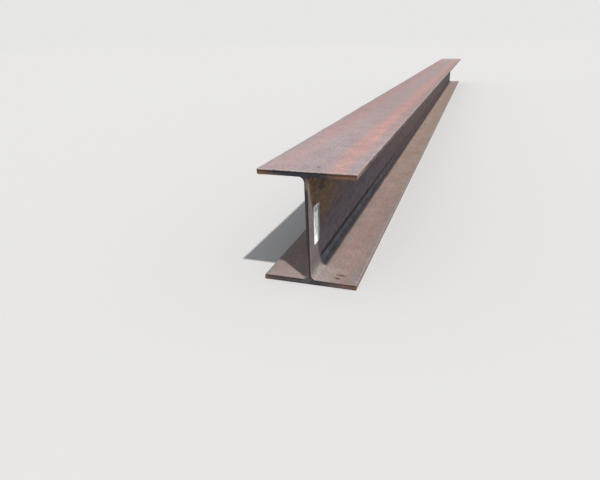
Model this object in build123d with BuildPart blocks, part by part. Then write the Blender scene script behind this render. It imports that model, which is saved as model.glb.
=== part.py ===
"""Hot-rolled steel H-beam, one stock length standing on its bottom flange, with a paper stock label on its web.

X runs across the flanges, Y along the beam and Z up. The origin is on the underside of the bottom flange,
at the middle of the beam's width and length. The labelled end is at -Y.
"""
import os

from build123d import *

# Rolled section
depth = 306.0
flange_width = 254.0
flange_thickness = 14.6
web_thickness = 8.8
root_radius = 15.0
toe_radius = 3.0

# Stock length between the two saw cuts
length = 6000.0

# Paper label, glued upright to the web near the -Y end, a little below mid height
label_width = 45.0
label_height = 105.0
label_thickness = 0.3
label_corner_radius = 3.0
label_end_distance = 38.0
label_drop = 2.5

channel_depth = (flange_width - web_thickness) / 2
channel_height = depth - 2 * flange_thickness
channel_centre = (web_thickness + channel_depth) / 2
mid_height = depth / 2

# The beam is one rolled piece. Its section is a rectangle less the two side channels, with the roots of the
# web and the toes of the flanges rounded by the rolls.
with BuildPart() as h_beam:
    with BuildSketch(Plane.XZ) as section:
        with Locations((0, mid_height)):
            Rectangle(flange_width, depth)
        with Locations((-channel_centre, mid_height), (channel_centre, mid_height)):
            Rectangle(channel_depth, channel_height, mode=Mode.SUBTRACT)
        left_roots, right_roots = section.vertices().group_by(Axis.X)[1:-1]
        fillet(left_roots + right_roots, root_radius)
        corners = section.vertices().group_by(Axis.X)
        fillet(corners[0] + corners[-1], toe_radius)
    extrude(amount=length / 2, both=True)

# The label is a thin sheet, flat on the web's +X face.
with BuildPart() as paper_label:
    with BuildSketch(Plane.YZ.offset(web_thickness / 2)) as sheet:
        with Locations((label_end_distance + (label_width - length) / 2, mid_height - label_drop)):
            RectangleRounded(label_width, label_height, label_corner_radius)
    extrude(amount=label_thickness)

os.makedirs("parts", exist_ok=True)
h_beam.part.label = "h_beam"
export_step(h_beam.part, "parts/h_beam.step")
paper_label.part.label = "paper_label"
export_step(paper_label.part, "parts/paper_label.step")
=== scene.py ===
import math

import bmesh
import bpy
from mathutils import Euler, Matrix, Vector


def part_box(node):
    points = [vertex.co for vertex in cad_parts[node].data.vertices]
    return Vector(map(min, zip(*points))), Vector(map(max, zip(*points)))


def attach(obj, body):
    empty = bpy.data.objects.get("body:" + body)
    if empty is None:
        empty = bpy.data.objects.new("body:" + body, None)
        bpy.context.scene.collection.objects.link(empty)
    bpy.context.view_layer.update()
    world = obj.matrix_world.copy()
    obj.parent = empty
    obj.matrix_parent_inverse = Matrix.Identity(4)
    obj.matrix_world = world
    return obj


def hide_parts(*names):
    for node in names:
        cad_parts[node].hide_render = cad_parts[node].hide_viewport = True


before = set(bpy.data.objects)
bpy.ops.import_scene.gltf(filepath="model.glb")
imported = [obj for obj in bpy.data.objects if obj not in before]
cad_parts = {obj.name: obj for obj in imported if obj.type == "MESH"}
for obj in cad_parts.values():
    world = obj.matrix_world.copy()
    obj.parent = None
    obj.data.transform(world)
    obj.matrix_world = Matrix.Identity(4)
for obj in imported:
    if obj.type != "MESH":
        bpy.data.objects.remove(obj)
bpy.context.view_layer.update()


# The beam: one length of wide-flange section in structural steel, hot-rolled in one piece and sawn off
# square at both ends. The rolls round the roots of the web and the toes of the flanges, and leave a skin
# of mill scale that rusts outdoors.
beam_low, beam_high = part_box("h_beam")
near_end = beam_low.y
beam_length = beam_high.y - beam_low.y
flange_width = beam_high.x - beam_low.x
depth = beam_high.z - beam_low.z
flange_thickness = 0.0146
web_thickness = 0.0088
root_radius = 0.015
toe_radius = 0.003
root_segments = 8
toe_segments = 3
flange_overhang = (flange_width - web_thickness) / 2
web_height = depth - 2 * flange_thickness
web_face = web_thickness / 2
under_top = depth - flange_thickness
mid_height = beam_low.z + depth / 2
half_length = beam_length / 2
half_width = flange_width / 2
hair = 0.0001  # how near a point counts as on a line or a face
square_on = 0.9  # the least share of a face's normal along the way that it faces


def pick(kind, test):
    """Selects the edges or faces of the mesh in edit mode that pass the test, and nothing else."""
    bpy.ops.mesh.select_mode(type="EDGE" if kind == "edges" else "FACE")
    bpy.ops.mesh.select_all(action="DESELECT")
    shown = bpy.context.edit_object.data
    mesh = bmesh.from_edit_mesh(shown)
    mesh.normal_update()
    for item in getattr(mesh, kind):
        if test(item):
            item.select_set(True)
    bmesh.update_edit_mesh(shown)


def middle(item):
    """The mean of an edge's or a face's corners."""
    return sum((corner.co for corner in item.verts), Vector()) / len(item.verts)


def pick_facing(way, level):
    """Selects the faces that point this way and have their middle at this height."""
    pick("faces", lambda face: face.normal.dot(way) > square_on and abs(middle(face).z - level) < hair)


def round_edges(radius, segments):
    """Rounds the selected edges."""
    bpy.ops.mesh.bevel(offset=radius, offset_type="OFFSET", segments=segments, profile=0.5, affect="EDGES")


def cut_across(place, direction):
    """Cuts the whole mesh in edit mode along a plane."""
    bpy.ops.mesh.select_all(action="SELECT")
    bpy.ops.mesh.bisect(plane_co=place, plane_no=direction)


plate_size = (web_thickness, beam_length, web_height)
bpy.ops.object.select_all(action="DESELECT")
bpy.ops.mesh.primitive_cube_add(size=1, location=(0, 0, mid_height), scale=plate_size)
beam = bpy.context.active_object
beam.name = "rolled_beam"
bpy.ops.object.transform_apply(location=True, rotation=True, scale=True)
bpy.ops.object.mode_set(mode="EDIT")

# The flanges grow from the web plate's two long edges.
for up in (-1, 1):
    pick_facing(Vector((0, 0, up)), mid_height + up * web_height / 2)
    bpy.ops.mesh.extrude_region_move(TRANSFORM_OT_translate={"value": (0, 0, up * flange_thickness)})
    flange_middle = mid_height + up * (web_height + flange_thickness) / 2
    for hand in (-1, 1):
        pick_facing(Vector((hand, 0, 0)), flange_middle)
        bpy.ops.mesh.extrude_region_move(TRANSFORM_OT_translate={"value": (hand * flange_overhang, 0, 0)})
bpy.ops.mesh.select_all(action="SELECT")
bpy.ops.mesh.dissolve_limited(angle_limit=math.radians(1))


def runs_along(edge, from_middle):
    """Whether an edge runs the beam's whole length at this distance to either side of its middle."""
    return edge.calc_length() > beam_length - hair and abs(abs(middle(edge).x) - from_middle) < hair


pick("edges", lambda edge: runs_along(edge, web_face))
round_edges(root_radius, root_segments)
pick("edges", lambda edge: runs_along(edge, half_width))
round_edges(toe_radius, toe_segments)

# The flat faces are cut into cells, which get shorter towards the two ends.
cell = 0.009
flange_flat = flange_overhang - root_radius - toe_radius
flange_cells = round(flange_flat / cell)
for k in range(flange_cells + 1):
    out = web_face + root_radius + flange_flat * k / flange_cells
    cut_across((out, 0, 0), (1, 0, 0))
    cut_across((-out, 0, 0), (1, 0, 0))
web_flat = web_height - 2 * root_radius
web_cells = round(web_flat / cell)
for k in range(web_cells + 1):
    cut_across((0, 0, flange_thickness + root_radius + web_flat * k / web_cells), (0, 0, 1))
row = 0.002
row_growth = 1.12
longest_row = 0.055
along = half_length - row
while along > 0:
    cut_across((0, along, 0), (0, 1, 0))
    cut_across((0, -along, 0), (0, 1, 0))
    row = min(row * row_growth, longest_row)
    along -= row


def is_cut(face):
    """Whether a face is on one of the two saw cuts."""
    return abs(face.normal.y) > square_on


# The saw leaves a narrow worn edge round each cut.
worn_edge = 0.0009
worn_segments = 2
pick("edges", lambda edge: len([face for face in edge.link_faces if is_cut(face)]) == 1)
round_edges(worn_edge, worn_segments)
bpy.ops.object.mode_set(mode="OBJECT")


def gather(name, points):
    """Puts points of the beam in a new vertex group."""
    group = beam.vertex_groups.new(name=name)
    group.add([point.index for point in points], 1, "REPLACE")
    return group


# Rolling leaves the faces a little uneven, handling dents the toes, and the saw drags a ragged burr along
# its cut. The underside stays flat.
free_points = [point for point in beam.data.vertices if point.co.z > toe_radius / 2]
gather("free", free_points)
rim = gather("rim", [point for point in free_points if half_length - abs(point.co.y) < worn_edge + hair])
for face in beam.data.polygons:
    if is_cut(face):
        rim.remove(list(face.vertices))
gather("toes", [point for point in free_points if half_width - abs(point.co.x) < toe_radius + hair])


def make_uneven(piece, name, grain, height, level, group="", contrast=1.0):
    """Moves a piece's surface in and out by a soft random pattern, whose grain and height are lengths.

    The level is the value of the pattern, from 0 to 1, that leaves the surface where it is.
    """
    pattern = bpy.data.textures.new(name, type="CLOUDS")
    pattern.noise_scale = grain
    pattern.contrast = contrast
    change = piece.modifiers.new(name, "DISPLACE")
    change.texture = pattern
    change.texture_coords = "LOCAL"
    change.direction = "NORMAL"
    change.strength = height
    change.mid_level = level
    change.vertex_group = group
    bpy.context.view_layer.objects.active = piece
    bpy.ops.object.modifier_apply(modifier=name)


make_uneven(beam, "rolled_waviness", grain=0.22, height=0.0007, level=0.5, group="free")
make_uneven(beam, "handling_dents", grain=0.03, height=0.0016, level=0.65, group="toes", contrast=1.6)
make_uneven(beam, "saw_burr", grain=0.005, height=0.0016, level=0.45, group="rim", contrast=1.4)
steel_crease = math.radians(38)
bpy.ops.object.shade_smooth_by_angle(angle=steel_crease)


class Shading:
    """Adds nodes to one shader node tree. Most calls give back the socket with their result."""

    def __init__(self, tree):
        self.tree = tree

    def feed(self, socket, value):
        """Links a socket to another one, or sets it to a plain value."""
        if isinstance(value, bpy.types.NodeSocket):
            self.tree.links.new(value, socket)
        elif socket.type == "RGBA":
            socket.default_value = (*value, 1)
        else:
            socket.default_value = value

    def add(self, kind, inputs, **settings):
        """Adds a node, and gives back the node itself."""
        node = self.tree.nodes.new(kind)
        for name, value in settings.items():
            setattr(node, name, value)
        for socket, value in inputs.items():
            self.feed(node.inputs[socket], value)
        return node

    def use(self, group, inputs):
        """Places a node group, and gives back its outputs."""
        return self.add("ShaderNodeGroup", inputs, node_tree=group).outputs

    def split(self, where):
        """The three coordinates of a place."""
        return tuple(self.add("ShaderNodeSeparateXYZ", {0: where}).outputs)

    def calc(self, operation, a, b=0.0):
        return self.add("ShaderNodeMath", {0: a, 1: b}, operation=operation).outputs[0]

    def vector_calc(self, operation, *values):
        inputs = dict(enumerate(values))
        return self.add("ShaderNodeVectorMath", inputs, operation=operation).outputs[0]

    def times(self, a, b):
        return self.calc("MULTIPLY", a, b)

    def plus(self, a, b):
        return self.calc("ADD", a, b)

    def minus(self, a, b):
        return self.calc("SUBTRACT", a, b)

    def most(self, a, b):
        return self.calc("MAXIMUM", a, b)

    def size(self, a):
        return self.calc("ABSOLUTE", a)

    def rest(self, share):
        """What a share leaves of the whole."""
        return self.minus(1.0, share)

    def sway(self, pattern, swing):
        """Turns a noise into a shift to both sides of 0, by half the swing each way."""
        return self.times(self.minus(pattern, 0.5), swing)

    def step(self, value, start, stop, low=0.0, high=1.0):
        """Goes smoothly from low to high as the value goes from start to stop."""
        inputs = {"Value": value, "From Min": start, "From Max": stop, "To Min": low, "To Max": high}
        return self.add("ShaderNodeMapRange", inputs, interpolation_type="SMOOTHSTEP").outputs[0]

    def lay(self, share, under, over):
        """Lays one colour over another, by a share from 0 to 1."""
        mix = self.add("ShaderNodeMix", {}, data_type="RGBA")
        for socket, value in zip((0, 6, 7), (share, under, over)):
            self.feed(mix.inputs[socket], value)
        return mix.outputs[2]

    def shade(self, colour, tone):
        """Makes a colour darker or lighter by a factor."""
        return self.add("ShaderNodeVectorMath", {0: colour, "Scale": tone}, operation="SCALE").outputs[0]

    def noise(self, where, scale, detail, roughness=0.55, distortion=0.0):
        """A soft random pattern, from 0 to 1."""
        inputs = {"Vector": where, "Scale": scale, "Detail": detail,
                  "Roughness": roughness, "Distortion": distortion}
        return self.add("ShaderNodeTexNoise", inputs).outputs[0]

    def grid(self, where, sizes, turn=(0, 0, 0)):
        """Coordinates that grow by 1 over each of these lengths, along axes turned by these angles."""
        inputs = {"Vector": where, "Rotation": turn, "Scale": sizes}
        return self.add("ShaderNodeMapping", inputs, vector_type="TEXTURE").outputs[0]

    def spots(self, where, sizes, detail, roughness, distortion=0.0, turn=(0, 0, 0)):
        """A soft random pattern with spots of these sizes, along axes turned by these angles."""
        return self.noise(self.grid(where, sizes, turn), 1.0, detail, roughness, distortion)

    def speckle(self, where, sizes, colour, strength):
        """Shifts a colour's red, green and blue up and down apart, by small soft spots."""
        inputs = {"Vector": self.grid(where, sizes), "Scale": 1.0, "Detail": 3.0, "Roughness": 0.6}
        tints = self.add("ShaderNodeTexNoise", inputs).outputs["Color"]
        shift = self.vector_calc("SUBTRACT", tints, (0.5, 0.5, 0.5))
        factor = self.vector_calc("MULTIPLY_ADD", shift, (strength, strength, strength), (1, 1, 1))
        return self.vector_calc("MULTIPLY", colour, factor)

    def patch(self, where, centre, reach, raggedness):
        """A ragged spot, 1 at its centre and 0 beyond its reach along each axis."""
        apart = self.vector_calc("SUBTRACT", where, centre)
        shares = self.vector_calc("DIVIDE", apart, reach)
        far = self.add("ShaderNodeVectorMath", {0: shares}, operation="LENGTH").outputs["Value"]
        return self.step(self.plus(far, self.sway(raggedness, 1.6)), 1.0, 0.45)

    def bump(self, shader, relief, strength, distance):
        """Presses a relief into a shader's surface."""
        inputs = {"Height": relief, "Strength": strength, "Distance": distance}
        self.feed(shader.inputs["Normal"], self.add("ShaderNodeBump", inputs).outputs[0])


def new_material(name):
    """A material with its shading, its shader and its Object coordinates."""
    material = bpy.data.materials.new(name)
    material.use_nodes = True
    shading = Shading(material.node_tree)
    where = shading.add("ShaderNodeTexCoord", {}).outputs["Object"]
    return material, shading, material.node_tree.nodes["Principled BSDF"], where


def new_group(name, inputs, outputs):
    """A shader node group with named sockets: the group, its shading, and its given and made sockets."""
    group = bpy.data.node_groups.new(name, "ShaderNodeTree")
    for socket, kind in inputs:
        group.interface.new_socket(socket, in_out="INPUT", socket_type=kind)
    for socket, kind in outputs:
        group.interface.new_socket(socket, in_out="OUTPUT", socket_type=kind)
    given = group.nodes.new("NodeGroupInput").outputs
    made = group.nodes.new("NodeGroupOutput").inputs
    return group, Shading(group), given, made


# Weathering: broad blotches, fine grain and small pits, for the rolled skin, the sawn faces and the label.
weathering, shading, given, made = new_group(
    "weathering",
    (("Where", "NodeSocketVector"), ("Blotch Scale", "NodeSocketFloat"), ("Grain Scale", "NodeSocketFloat")),
    (("Blotch", "NodeSocketFloat"), ("Relief", "NodeSocketFloat"), ("Tone", "NodeSocketFloat")))
blotch = shading.noise(given["Where"], given["Blotch Scale"], 7.0, 0.62, 0.4)
grain = shading.noise(given["Where"], given["Grain Scale"], 5.0, 0.7)
pit_field = shading.noise(given["Where"], shading.times(given["Grain Scale"], 0.45), 2.0)
pits = shading.step(pit_field, 0.64, 0.72)
relief = shading.minus(shading.times(grain, 0.6), shading.times(pits, 0.5))
tone = shading.times(shading.step(blotch, 0.25, 0.75, 0.88, 1.12), shading.step(grain, 0.2, 0.8, 0.9, 1.1))
tone = shading.times(tone, shading.rest(shading.times(pits, 0.25)))
shading.feed(made["Blotch"], blotch)
shading.feed(made["Relief"], relief)
shading.feed(made["Tone"], tone)

# Rust: clouds of brown, orange where they are fresh, as thick as the amount given.
rusting, shading, given, made = new_group(
    "steel_rust",
    (("Where", "NodeSocketVector"), ("Amount", "NodeSocketFloat"), ("Scale", "NodeSocketFloat")),
    (("Mask", "NodeSocketFloat"), ("Colour", "NodeSocketColor")))
old_rust = (0.06, 0.03, 0.012)
fresh_rust = (0.168, 0.092, 0.05)
cloud = shading.noise(given["Where"], given["Scale"], 8.0, 0.68, 0.6)
thickness = shading.minus(shading.plus(cloud, given["Amount"]), 1.0)
freshness = shading.noise(given["Where"], shading.times(given["Scale"], 3.0), 5.0, 0.65)
shading.feed(made["Mask"], shading.step(thickness, -0.12, 0.2))
shading.feed(made["Colour"], shading.lay(shading.step(freshness, 0.36, 0.68), old_rust, fresh_rust))

# The rolled skin. Rolling has drawn its clouds, patches and lines out along the beam, and handling has
# scratched it across.
skin, shading, shader, where = new_material("mill_scale")
across, along, height = shading.split(where)
out = shading.size(across)
from_end = shading.minus(half_length, shading.size(along))
weather = shading.use(weathering, {"Where": where, "Blotch Scale": 16.0, "Grain Scale": 420.0})
cloud = shading.spots(where, (0.05, 0.22, 0.05), 4.0, 0.55, 0.6)
patches = shading.spots(where, (0.019, 0.062, 0.019), 5.0, 0.6, 0.8)
mottle = shading.spots(where, (0.017, 0.038, 0.017), 5.0, 0.65, 0.6)
streaks = shading.spots(where, (0.012, 0.45, 0.012), 4.0, 0.6)
scratches = shading.spots(where, (0.016, 0.0022, 0.016), 4.0, 0.7)
rolling_lines = shading.spots(where, (0.0043, 0.4, 0.0043), 3.0, 0.6)
fine_spots = shading.spots(where, (0.0045, 0.012, 0.0045), 3.0, 0.6)

# The top is grey, and browner away from the ends. A soft pink stripe wanders along its right half between
# bluish bands, and a fainter one along its left half.
top_grey = (0.194, 0.149, 0.149)
top_brown = (0.184, 0.127, 0.122)
top_blue = (0.172, 0.14, 0.149)
top_peach = (0.225, 0.143, 0.125)
top_pink = (0.258, 0.141, 0.13)
stripe_middle = 0.069
stripe_half = 0.021
half_seed = shading.step(across, -0.004, 0.004, 0.0, 3.0)
drift_place = shading.add("ShaderNodeCombineXYZ", {1: shading.times(along, 0.9), 2: half_seed}).outputs[0]
drift = shading.sway(shading.noise(drift_place, 1.0, 3.0), 0.05)
stripe_place = shading.plus(stripe_middle, shading.step(from_end, 0.4, 0.1, 0.0, 0.006))
off_stripe = shading.size(shading.minus(shading.plus(out, drift), stripe_place))
off_stripe = shading.plus(off_stripe, shading.sway(cloud, 0.045))
off_stripe = shading.plus(off_stripe, shading.sway(streaks, 0.03))
stripe = shading.step(off_stripe, stripe_half + 0.022, stripe_half - 0.016)
stripe = shading.times(stripe, shading.step(across, -0.02, 0.02, 0.3, 1.0))
stripe = shading.times(stripe, shading.step(from_end, 0.05, 0.25, 0.78, 1.0))
blue = shading.step(off_stripe, stripe_half + 0.004, stripe_half + 0.022)
blue = shading.times(blue, shading.step(patches, 0.4, 0.62))
blue = shading.times(blue, shading.step(from_end, 0.9, 0.4, 0.35, 1.0))
stripe_colour = shading.lay(shading.step(patches, 0.34, 0.68), top_peach, top_pink)
browned = shading.times(shading.step(from_end, 0.2, 0.7), shading.step(out, 0.035, 0.08, 0.35, 1.0))
top_plain = shading.lay(browned, top_grey, top_brown)
top_colour = shading.lay(stripe, shading.lay(blue, top_plain, top_blue), stripe_colour)
top_colour = shading.shade(top_colour, shading.step(from_end, 0.5, 1.2, 1.0, 0.9))

# The lower flange is pink between tan edges, warmer away from the ends and paler close to them, with a thin
# bluish line beside its toe.
low_pink = (0.18, 0.124, 0.115)
low_tan = (0.16, 0.125, 0.114)
low_far = (0.192, 0.144, 0.122)
low_pale = (0.174, 0.144, 0.135)
low_blue = (0.122, 0.112, 0.115)
toe_line_place = 0.119
edge_bands = shading.most(shading.step(out, 0.055, 0.026), shading.step(out, 0.08, 0.118))
edge_bands = shading.plus(edge_bands, shading.sway(cloud, 1.4))
edge_bands = shading.plus(edge_bands, shading.sway(patches, 2.4))
low_colour = shading.lay(shading.step(edge_bands, 0.15, 1.0), low_pink, low_tan)
low_colour = shading.lay(shading.step(from_end, 0.4, 1.3, 0.0, 0.7), low_colour, low_far)
paled = shading.times(shading.step(from_end, 0.2, 0.03), shading.step(out, 0.105, 0.03))
low_colour = shading.lay(paled, low_colour, low_pale)
toe_line = shading.step(shading.size(shading.minus(out, toe_line_place)), 0.004, 0.001)
toe_line = shading.times(toe_line, shading.step(patches, 0.3, 0.55))
low_colour = shading.lay(shading.times(toe_line, 0.7), low_colour, low_blue)
low_colour = shading.shade(low_colour, shading.step(out, 0.06, 0.09, 1.0, 0.92))

# The web is brown above and a lighter purplish grey below. At each end it is painted pale, as painted light,
# in a wedge that is wide at its foot, where the key light reaches in under the top flange.
web_brown = (0.083, 0.05, 0.039)
web_purple = (0.079, 0.063, 0.083)
web_grey = (0.072, 0.066, 0.076)
web_painted_light = (0.122, 0.105, 0.1)
web_low = shading.step(shading.plus(height, shading.sway(mottle, 0.2)), 0.2, 0.09)
web_colour = shading.lay(shading.times(web_low, 0.9), web_brown, web_purple)
greyed = shading.step(patches, 0.42, 0.66, 0.0, 0.5)
greyed = shading.times(greyed, shading.step(height, 0.25, 0.19, 0.1, 1.0))
web_colour = shading.lay(greyed, web_colour, web_grey)
web_colour = shading.shade(web_colour, shading.step(height, 0.13, 0.05, 1.0, 1.42))
# The pale wedge is painted light: its edge follows the key light's reach under the top flange.
below_flange = shading.minus(under_top, height)
painted_light_reach = shading.plus(shading.times(below_flange, 0.3), 0.006)
painted_light_wedge = shading.step(shading.minus(from_end, painted_light_reach), 0.012, -0.006)
web_colour = shading.lay(painted_light_wedge, web_colour, web_painted_light)

# Along each lower root runs a dark line on the web, then a bluish grey band of painted reflection and a band
# of painted shade on the round. Close to the ends the root gets painted light instead, and far from them the
# whole web is warmer.
root_sky_reflection = (0.103, 0.105, 0.129)
root_painted_shade = (0.076, 0.066, 0.079)
root_line = (0.021, 0.022, 0.031)
root_painted_light = (0.164, 0.145, 0.132)
web_far = (0.132, 0.088, 0.079)
root_line_height = 0.0465
root_reach = shading.step(from_end, 0.12, 0.3, 0.0085, 0.0115)
root_place = shading.plus(height, shading.sway(cloud, 0.004))
off_root = shading.size(shading.minus(root_place, root_line_height))
root_shade = shading.step(shading.calc("DIVIDE", off_root, root_reach), 1.0, 0.25)
root_shade = shading.times(root_shade, shading.step(from_end, 0.075, 0.11, 0.1, 0.97))
web_colour = shading.lay(root_shade, web_colour, root_line)
# The bluish band is a painted reflection, lighter near the ends, and the dark band below it is painted
# shade.
painted_reflection_band = shading.shade(root_sky_reflection, shading.step(from_end, 0.12, 0.18, 1.2, 1.0))
web_colour = shading.lay(shading.step(height, 0.042, 0.036), web_colour, painted_reflection_band)
web_colour = shading.lay(shading.step(height, 0.026, 0.021), web_colour, root_painted_shade)
# Near each end the root is painted pale, as painted light.
at_painted_lit_root = shading.times(shading.step(height, 0.06, 0.025), shading.step(from_end, 0.11, 0.07))
web_colour = shading.lay(at_painted_lit_root, web_colour, root_painted_light)
web_colour = shading.lay(shading.step(from_end, 0.6, 1.7, 0.0, 0.75), web_colour, web_far)

# The toes of the top flange are brown with a painted tan highlight along their upper edge, and those of the
# lower flange are tan. Each colour ends where its face does.
toe_dark = (0.168, 0.124, 0.116)
toe_highlight_tan = (0.21, 0.168, 0.152)
on_top = shading.step(height, depth - 0.0035, depth - 0.0022)
on_low = shading.step(height, flange_thickness + 0.0018, flange_thickness + 0.0009)
on_toe = shading.step(out, half_width - 0.0028, half_width - 0.0012)
toe_colour = shading.lay(shading.step(height, depth - 0.005, depth - 0.002), toe_dark, toe_highlight_tan)
toe_colour = shading.lay(shading.step(height, 0.03, 0.02), toe_colour, low_tan)
colour = shading.lay(on_low, shading.lay(on_top, web_colour, top_colour), low_colour)
colour = shading.lay(on_toe, colour, toe_colour)

# Brown rust creeps in from the sawn ends, thickest on the upper web, with stray blooms elsewhere. Painted
# shade darkens the web below the top flange, less close to the ends.
off_flanges = shading.rest(shading.most(on_top, on_low))
on_web_off_painted_light = shading.times(off_flanges, shading.rest(painted_light_wedge))
upper_web = shading.times(shading.step(height, 0.09, 0.24), on_web_off_painted_light)
upper_web = shading.times(upper_web, shading.rest(shading.times(on_toe, 0.7)))
rust_amount = shading.times(shading.step(from_end, 0.4, 0.08, 0.0, 0.85), upper_web)
rust_amount = shading.plus(rust_amount, shading.step(from_end, 0.008, 0.0, 0.2, 0.32))
rust_place = shading.grid(where, (1, 1.7, 0.9))
rust = shading.use(rusting, {"Where": rust_place, "Amount": rust_amount, "Scale": 60.0})
colour = shading.lay(shading.times(rust["Mask"], 0.92), colour, rust["Colour"])
# Painted shade under the top flange.
painted_shade_under_flange = shading.times(shading.step(height, under_top - 0.08, under_top - 0.015), on_web_off_painted_light)
painted_shade_under_flange = shading.times(painted_shade_under_flange, shading.step(from_end, 0.05, 0.12, 0.1, 0.5))
colour = shading.shade(colour, shading.rest(painted_shade_under_flange))

# Marks near the labelled end: a speck and blue smudges on the top, a blue smudge on the lower flange, a
# dark stain on the upper web, and tan spots of fresh rust at the web's two roots. Each has its centre, its
# reach each way, its colour and its strength.
dark_mark = (0.045, 0.036, 0.038)
stain_mark = (0.034, 0.014, 0.004)
blue_mark = (0.125, 0.122, 0.134)
tan_mark = (0.19, 0.145, 0.1)
orange_mark = (0.2, 0.13, 0.088)
for centre, reach, mark_colour, strength in (
        ((0.020, near_end + 0.045, depth), (0.0045, 0.009, 0.004), dark_mark, 0.8),
        ((0.103, near_end + 0.052, depth), (0.012, 0.016, 0.004), blue_mark, 0.45),
        ((0.106, near_end + 0.02, depth), (0.015, 0.008, 0.004), blue_mark, 0.45),
        ((0.112, near_end + 0.04, flange_thickness), (0.01, 0.06, 0.004), blue_mark, 0.35),
        ((web_face, near_end + 0.116, 0.242), (0.012, 0.045, 0.023), stain_mark, 0.7),
        ((web_face, near_end + 0.008, 0.258), (0.012, 0.018, 0.024), tan_mark, 0.8),
        ((0.009, near_end + 0.003, flange_thickness + 0.006), (0.01, 0.012, 0.025), orange_mark, 0.4)):
    spot = shading.patch(where, centre, reach, patches)
    colour = shading.lay(shading.times(spot, strength), colour, mark_colour)

# Brown scuffs on the lower flange, the last one broad and faint, each with its centre, reach and strength.
scuff_brown = (0.05, 0.034, 0.03)
for centre, reach, strength in (
        ((0.067, near_end + 0.0445, flange_thickness), (0.011, 0.0055, 0.004), 0.5),
        ((0.0765, near_end + 0.043, flange_thickness), (0.0095, 0.007, 0.004), 0.85),
        ((0.085, near_end + 0.0415, flange_thickness), (0.009, 0.0055, 0.004), 0.5),
        ((0.0625, near_end + 0.0275, flange_thickness), (0.009, 0.0055, 0.004), 0.55),
        ((0.0705, near_end + 0.0245, flange_thickness), (0.009, 0.006, 0.004), 0.9),
        ((0.075, near_end + 0.026, flange_thickness), (0.045, 0.045, 0.004), 0.16)):
    scuff = shading.patch(where, centre, reach, scratches)
    colour = shading.lay(shading.times(scuff, strength), colour, scuff_brown)

# Small spots of other tints lie all over. Along the top the cut's worn edge is paler: bare metal and painted
# highlight.
worn_metal_and_highlight = (0.26, 0.22, 0.21)
colour = shading.speckle(where, (0.006, 0.015, 0.006), colour, 0.42)
worn_and_highlight = shading.times(shading.step(from_end, 0.003, 0.001), shading.step(patches, 0.3, 0.5))
colour = shading.lay(shading.times(worn_and_highlight, on_top), colour, worn_metal_and_highlight)

# The tone varies with the weathering, the rolling lines and fine spots, and most on the mottled web.
tone = shading.times(weather["Tone"], shading.step(rolling_lines, 0.25, 0.75, 0.96, 1.04))
tone = shading.times(tone, shading.step(fine_spots, 0.3, 0.7, 0.87, 1.13))
mottled = shading.step(mottle, 0.28, 0.72, 0.66, 1.34)
tone = shading.times(tone, shading.plus(shading.times(shading.minus(mottled, 1.0), on_web_off_painted_light), 1.0))
shading.feed(shader.inputs["Base Color"], shading.shade(colour, tone))
shading.feed(shader.inputs["Roughness"], shading.step(weather["Blotch"], 0.25, 0.75, 0.56, 0.74))
shader.inputs["Specular IOR Level"].default_value = 0.15
shading.bump(shader, weather["Relief"], strength=0.35, distance=0.0006)
beam.data.materials.append(skin)

# The sawn faces. Dark slate steel with the saw's fine lines, lighter on the low flange and bluish at the
# web's foot. The web's end is two-toned: dark on the label's side, worn lighter on the other.
sawn, shading, shader, where = new_material("sawn_steel")
across, _, height = shading.split(where)
out = shading.size(across)
weather = shading.use(weathering, {"Where": where, "Blotch Scale": 60.0, "Grain Scale": 700.0})
ragged = weather["Blotch"]
saw_turn = (0, math.radians(12), 0)
saw_lines = shading.spots(where, (0.025, 0.025, 0.0011), 4.0, 0.65, turn=saw_turn)
slate_teal = (0.029, 0.034, 0.037)
slate_purple = (0.03, 0.026, 0.035)
slate_low = (0.055, 0.049, 0.051)
slate_blue = (0.05, 0.062, 0.082)
web_dark = (0.022, 0.016, 0.017)
web_worn = (0.04, 0.035, 0.034)
web_bare = (0.088, 0.062, 0.055)
from_middle = shading.size(shading.minus(height, mid_height))
on_web = shading.step(from_middle, web_height / 2, web_height / 2 - 0.012)
on_low_flange = shading.step(height, 0.02, 0.012)
slate = shading.lay(shading.step(ragged, 0.4, 0.6), slate_purple, slate_teal)
slate = shading.lay(on_low_flange, slate, slate_low)
web_foot = (-0.013, near_end, flange_thickness)
blued = shading.patch(where, web_foot, (0.02, 0.02, 0.013), ragged)
slate = shading.lay(shading.times(blued, 0.6), slate, slate_blue)
dirt_place = (0.017, near_end, flange_thickness / 2)
low_dirt = shading.patch(where, dirt_place, (0.02, 0.02, 0.012), ragged)
slate = shading.lay(shading.times(low_dirt, 0.45), slate, web_dark)
worn_place = shading.plus(across, shading.sway(ragged, 0.004))
worn_side = shading.step(worn_place, 0.001, -0.0014)
worn_colour = shading.lay(shading.step(height, 0.12, 0.03), web_worn, web_bare)
web_slate = shading.lay(worn_side, web_dark, worn_colour)
slate = shading.lay(on_web, slate, web_slate)

# Towards the tips of the flanges the cut is brown with rust, and a tan spot lies under the top root.
tip_brown = (0.12, 0.058, 0.038)
tip_grey = (0.113, 0.069, 0.056)
root_tan = (0.165, 0.118, 0.09)
tip_start = shading.plus(shading.times(on_low_flange, 0.01), shading.step(across, 0.0, -0.02, 0.0, 0.04))
tip_place = shading.plus(out, shading.sway(ragged, 0.06))
tip = shading.step(shading.minus(tip_place, tip_start), 0.034, 0.086)
colour = shading.lay(tip, slate, shading.lay(on_low_flange, tip_brown, tip_grey))
rust_amount = shading.step(shading.minus(out, tip_start), 0.045, 0.115, 0.2, 0.55)
rust = shading.use(rusting, {"Where": where, "Amount": rust_amount, "Scale": 120.0})
colour = shading.lay(shading.times(rust["Mask"], 0.6), colour, rust["Colour"])
below_root = (0.0015, near_end, under_top - 0.02)
root_spot = shading.patch(where, below_root, (0.0045, 0.02, 0.024), ragged)
colour = shading.lay(shading.times(root_spot, 0.6), colour, root_tan)
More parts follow.
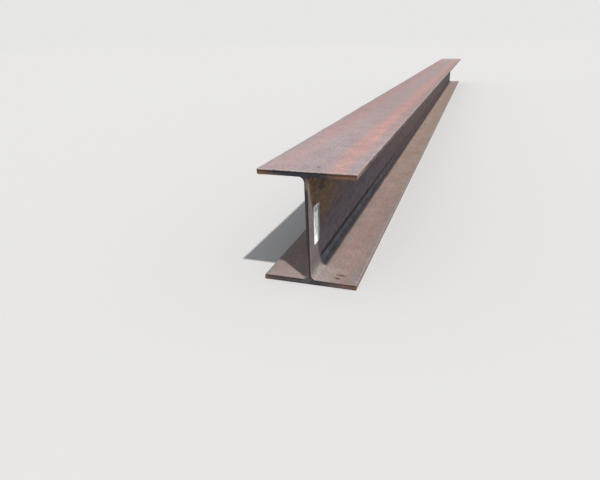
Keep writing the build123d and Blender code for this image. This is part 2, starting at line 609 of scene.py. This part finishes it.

# An orange line runs along the lower edge of the top flange's tips, a line of painted shade under the burr
# of each flange, and a painted highlight along the top.
rim_orange = (0.16, 0.092, 0.05)
edge_highlight = (0.27, 0.23, 0.215)
top_burr_drop = 0.0052
low_burr_drop = 0.0035
under_rim = shading.step(height, under_top + 0.006, under_top + 0.002)
under_rim = shading.times(under_rim, shading.step(out, 0.05, 0.09))
under_rim = shading.times(under_rim, shading.step(height, under_top - 0.002, under_top))
colour = shading.lay(shading.times(under_rim, 0.7), colour, rim_orange)
top_shade = shading.step(shading.size(shading.minus(height, depth - top_burr_drop)), 0.003, 0.001)
below_burr = shading.size(shading.minus(height, flange_thickness - low_burr_drop))
low_shade = shading.step(below_burr, 0.0025, 0.001)
low_shade = shading.times(low_shade, shading.step(out, 0.014, 0.022))
burr_shade = shading.times(shading.most(top_shade, low_shade), shading.step(ragged, 0.3, 0.6, 0.35, 0.6))
colour = shading.shade(colour, shading.rest(burr_shade))
# A painted highlight along the top rim.
top_rim_highlight = shading.step(height, depth - 0.003, depth - 0.0016)
colour = shading.lay(shading.times(top_rim_highlight, shading.step(ragged, 0.3, 0.5)), colour, edge_highlight)
colour = shading.speckle(where, (0.007, 0.007, 0.007), colour, 0.7)
tone = shading.times(weather["Tone"], shading.step(saw_lines, 0.3, 0.7, 0.85, 1.18))
shading.feed(shader.inputs["Base Color"], shading.shade(colour, tone))
shading.feed(shader.inputs["Roughness"], shading.step(ragged, 0.25, 0.75, 0.5, 0.72))
shader.inputs["Specular IOR Level"].default_value = 0.12
shading.bump(shader, shading.plus(saw_lines, weather["Relief"]), strength=0.4, distance=0.0008)
beam.data.materials.append(sawn)
for face in beam.data.polygons:
    face.material_index = 1 if is_cut(face) else 0

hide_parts("h_beam")
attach(beam, "root")


# The label: a blank paper stock label, white with a green strip down one edge, glued upright to the web
# near one sawn end, a little below mid height. The paper has round corners, has cockled a little in the
# weather, and has begun to lift at one corner.
label_low, label_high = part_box("paper_label")
label_middle = (label_low + label_high) / 2
label_width = label_high.y - label_low.y
label_height = label_high.z - label_low.z
label_corner = 0.003
corner_segments = 4
label_cell = 0.0025
bpy.ops.object.select_all(action="DESELECT")
bpy.ops.mesh.primitive_plane_add(
    size=1, location=(label_low.x, label_middle.y, label_middle.z), rotation=(0, math.radians(90), 0))
label = bpy.context.active_object
label.name = "stock_label"
label.scale = (label_height, label_width, 1)
bpy.ops.object.transform_apply(location=True, rotation=True, scale=True)
bpy.ops.object.mode_set(mode="EDIT")
bpy.ops.mesh.select_all(action="SELECT")
bpy.ops.mesh.bevel(offset=label_corner, segments=corner_segments, affect="VERTICES")
for k in range(1, round(label_width / label_cell)):
    cut_across((0, label_low.y + k * label_cell, 0), (0, 1, 0))
for k in range(1, round(label_height / label_cell)):
    cut_across((0, 0, label_low.z + k * label_cell), (0, 0, 1))
bpy.ops.object.mode_set(mode="OBJECT")
lifted_corner = Vector((label_low.x, label_high.y, label_high.z))
lift = 0.0016
lift_reach = 0.02
for point in label.data.vertices:
    closeness = max(0, 1 - (point.co - lifted_corner).length / lift_reach)
    point.co.x += lift * closeness ** 2
make_uneven(label, "paper_cockle", grain=0.012, height=0.0004, level=0.2)
paper_wall = label.modifiers.new("paper_wall", "SOLIDIFY")
paper_wall.thickness = 0.0002
paper_wall.offset = 1
bpy.ops.object.modifier_apply(modifier="paper_wall")
paper_crease = math.radians(40)
bpy.ops.object.shade_smooth_by_angle(angle=paper_crease)

# The paper is soiled along its creases and its top edge and smudged near its top. Its foot is painted
# brighter, as painted light, and its creases fade there.
paper, shading, shader, where = new_material("label_paper")
_, along, height = shading.split(where)
weather = shading.use(weathering, {"Where": where, "Blotch Scale": 55.0, "Grain Scale": 1500.0})
paper_white = (0.76, 0.785, 0.785)
paper_painted_light = (0.92, 0.92, 0.92)
paper_edge = (0.5, 0.46, 0.42)
strip_green = (0.125, 0.172, 0.1)
soil_grey = (0.3, 0.36, 0.36)
soil_dark = (0.1, 0.12, 0.125)
strip_width = 0.0135
strip_start = label_high.y - strip_width
strip = shading.step(along, strip_start, strip_start + 0.001)
# The label's foot is painted brighter, as painted light.
painted_light_foot = shading.step(height, label_low.z + 0.03, label_low.z + 0.012)
colour = shading.lay(strip, shading.lay(painted_light_foot, paper_white, paper_painted_light), strip_green)
top_edge = shading.step(height, label_high.z - 0.007, label_high.z - 0.002, 0.0, 0.6)
colour = shading.lay(top_edge, colour, paper_edge)
crease_turn = (math.radians(40), 0, 0)
creases = shading.spots(where, (1, 0.03, 0.006), 4.0, 0.6, 0.8, crease_turn)
creased = shading.times(shading.step(creases, 0.48, 0.64, 0.0, 0.7), shading.rest(painted_light_foot))
colour = shading.lay(creased, colour, soil_grey)
smudge_place = (label_low.x, label_low.y + 0.018, label_high.z - 0.011)
smudge = shading.patch(where, smudge_place, (0.01, 0.018, 0.012), weather["Blotch"])
colour = shading.lay(shading.times(smudge, 0.75), colour, soil_dark)
shading.feed(shader.inputs["Base Color"], shading.shade(colour, weather["Tone"]))
shader.inputs["Roughness"].default_value = 0.7
shading.bump(shader, weather["Relief"], strength=0.15, distance=0.0002)
label.data.materials.append(paper)

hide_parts("paper_label")
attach(label, "root")


# The studio: a plain pale floor under an even pale surround, a key light, only a little soft, from above
# on the right and slightly in front, and a camera at the photo's viewing angle, in front of the labelled
# end, to its right and above it.
floor_size = 120
bpy.ops.object.select_all(action="DESELECT")
bpy.ops.mesh.primitive_plane_add(size=floor_size, location=(0, 0, 0))
floor = bpy.context.active_object
floor.name = "floor"
floor_paint = bpy.data.materials.new("pale_floor")
floor_paint.use_nodes = True
shader = floor_paint.node_tree.nodes["Principled BSDF"]
shader.inputs["Base Color"].default_value = (0.34, 0.34, 0.34, 1)
shader.inputs["Roughness"].default_value = 0.9
shader.inputs["Specular IOR Level"].default_value = 0.0
floor.data.materials.append(floor_paint)

key_direction = Vector((0.38, -0.325, 1.0))
key_light = bpy.data.lights.new("key", "SUN")
key_light.energy = 5.5
key_light.angle = math.radians(1.8)
key_light.color = (1.0, 0.965, 0.93)
key = bpy.data.objects.new("key", key_light)
key.rotation_euler = key_direction.to_track_quat("Z", "Y").to_euler()
bpy.context.scene.collection.objects.link(key)

world = bpy.data.worlds.new("surround")
world.use_nodes = True
shading = Shading(world.node_tree)
seen = shading.add("ShaderNodeLightPath", {}).outputs["Is Camera Ray"]
surround_light = (0.82, 0.85, 0.89)
surround_seen = (0.8, 0.795, 0.785)
surround = world.node_tree.nodes["Background"]
shading.feed(surround.inputs["Color"], shading.lay(seen, surround_light, surround_seen))
bpy.context.scene.world = world

photo_width = 600
photo_height = 480
focal_pixels = 460.2
centre_across = 323.7
centre_down = 238.9
yaw = math.radians(-17.93)
pitch = math.radians(23.50)
roll = math.radians(1.27)
eye_right = 0.3663
eye_back = 1.0016
eye_height = 0.5934
lens = bpy.data.cameras.new("camera")
lens.sensor_width = 36
lens.lens = lens.sensor_width * focal_pixels / photo_width
lens.shift_x = (photo_width / 2 - centre_across) / photo_width
lens.shift_y = (centre_down - photo_height / 2) / photo_width
lens.clip_end = 500
camera = bpy.data.objects.new("camera", lens)
camera.location = (eye_right, near_end - eye_back, eye_height)
facing = Euler((math.radians(90) - pitch, 0, -yaw)).to_matrix() @ Euler((0, 0, -roll)).to_matrix()
camera.rotation_euler = facing.to_euler()
bpy.context.scene.collection.objects.link(camera)
bpy.context.scene.camera = camera
bpy.context.scene.view_settings.view_transform = "Standard"
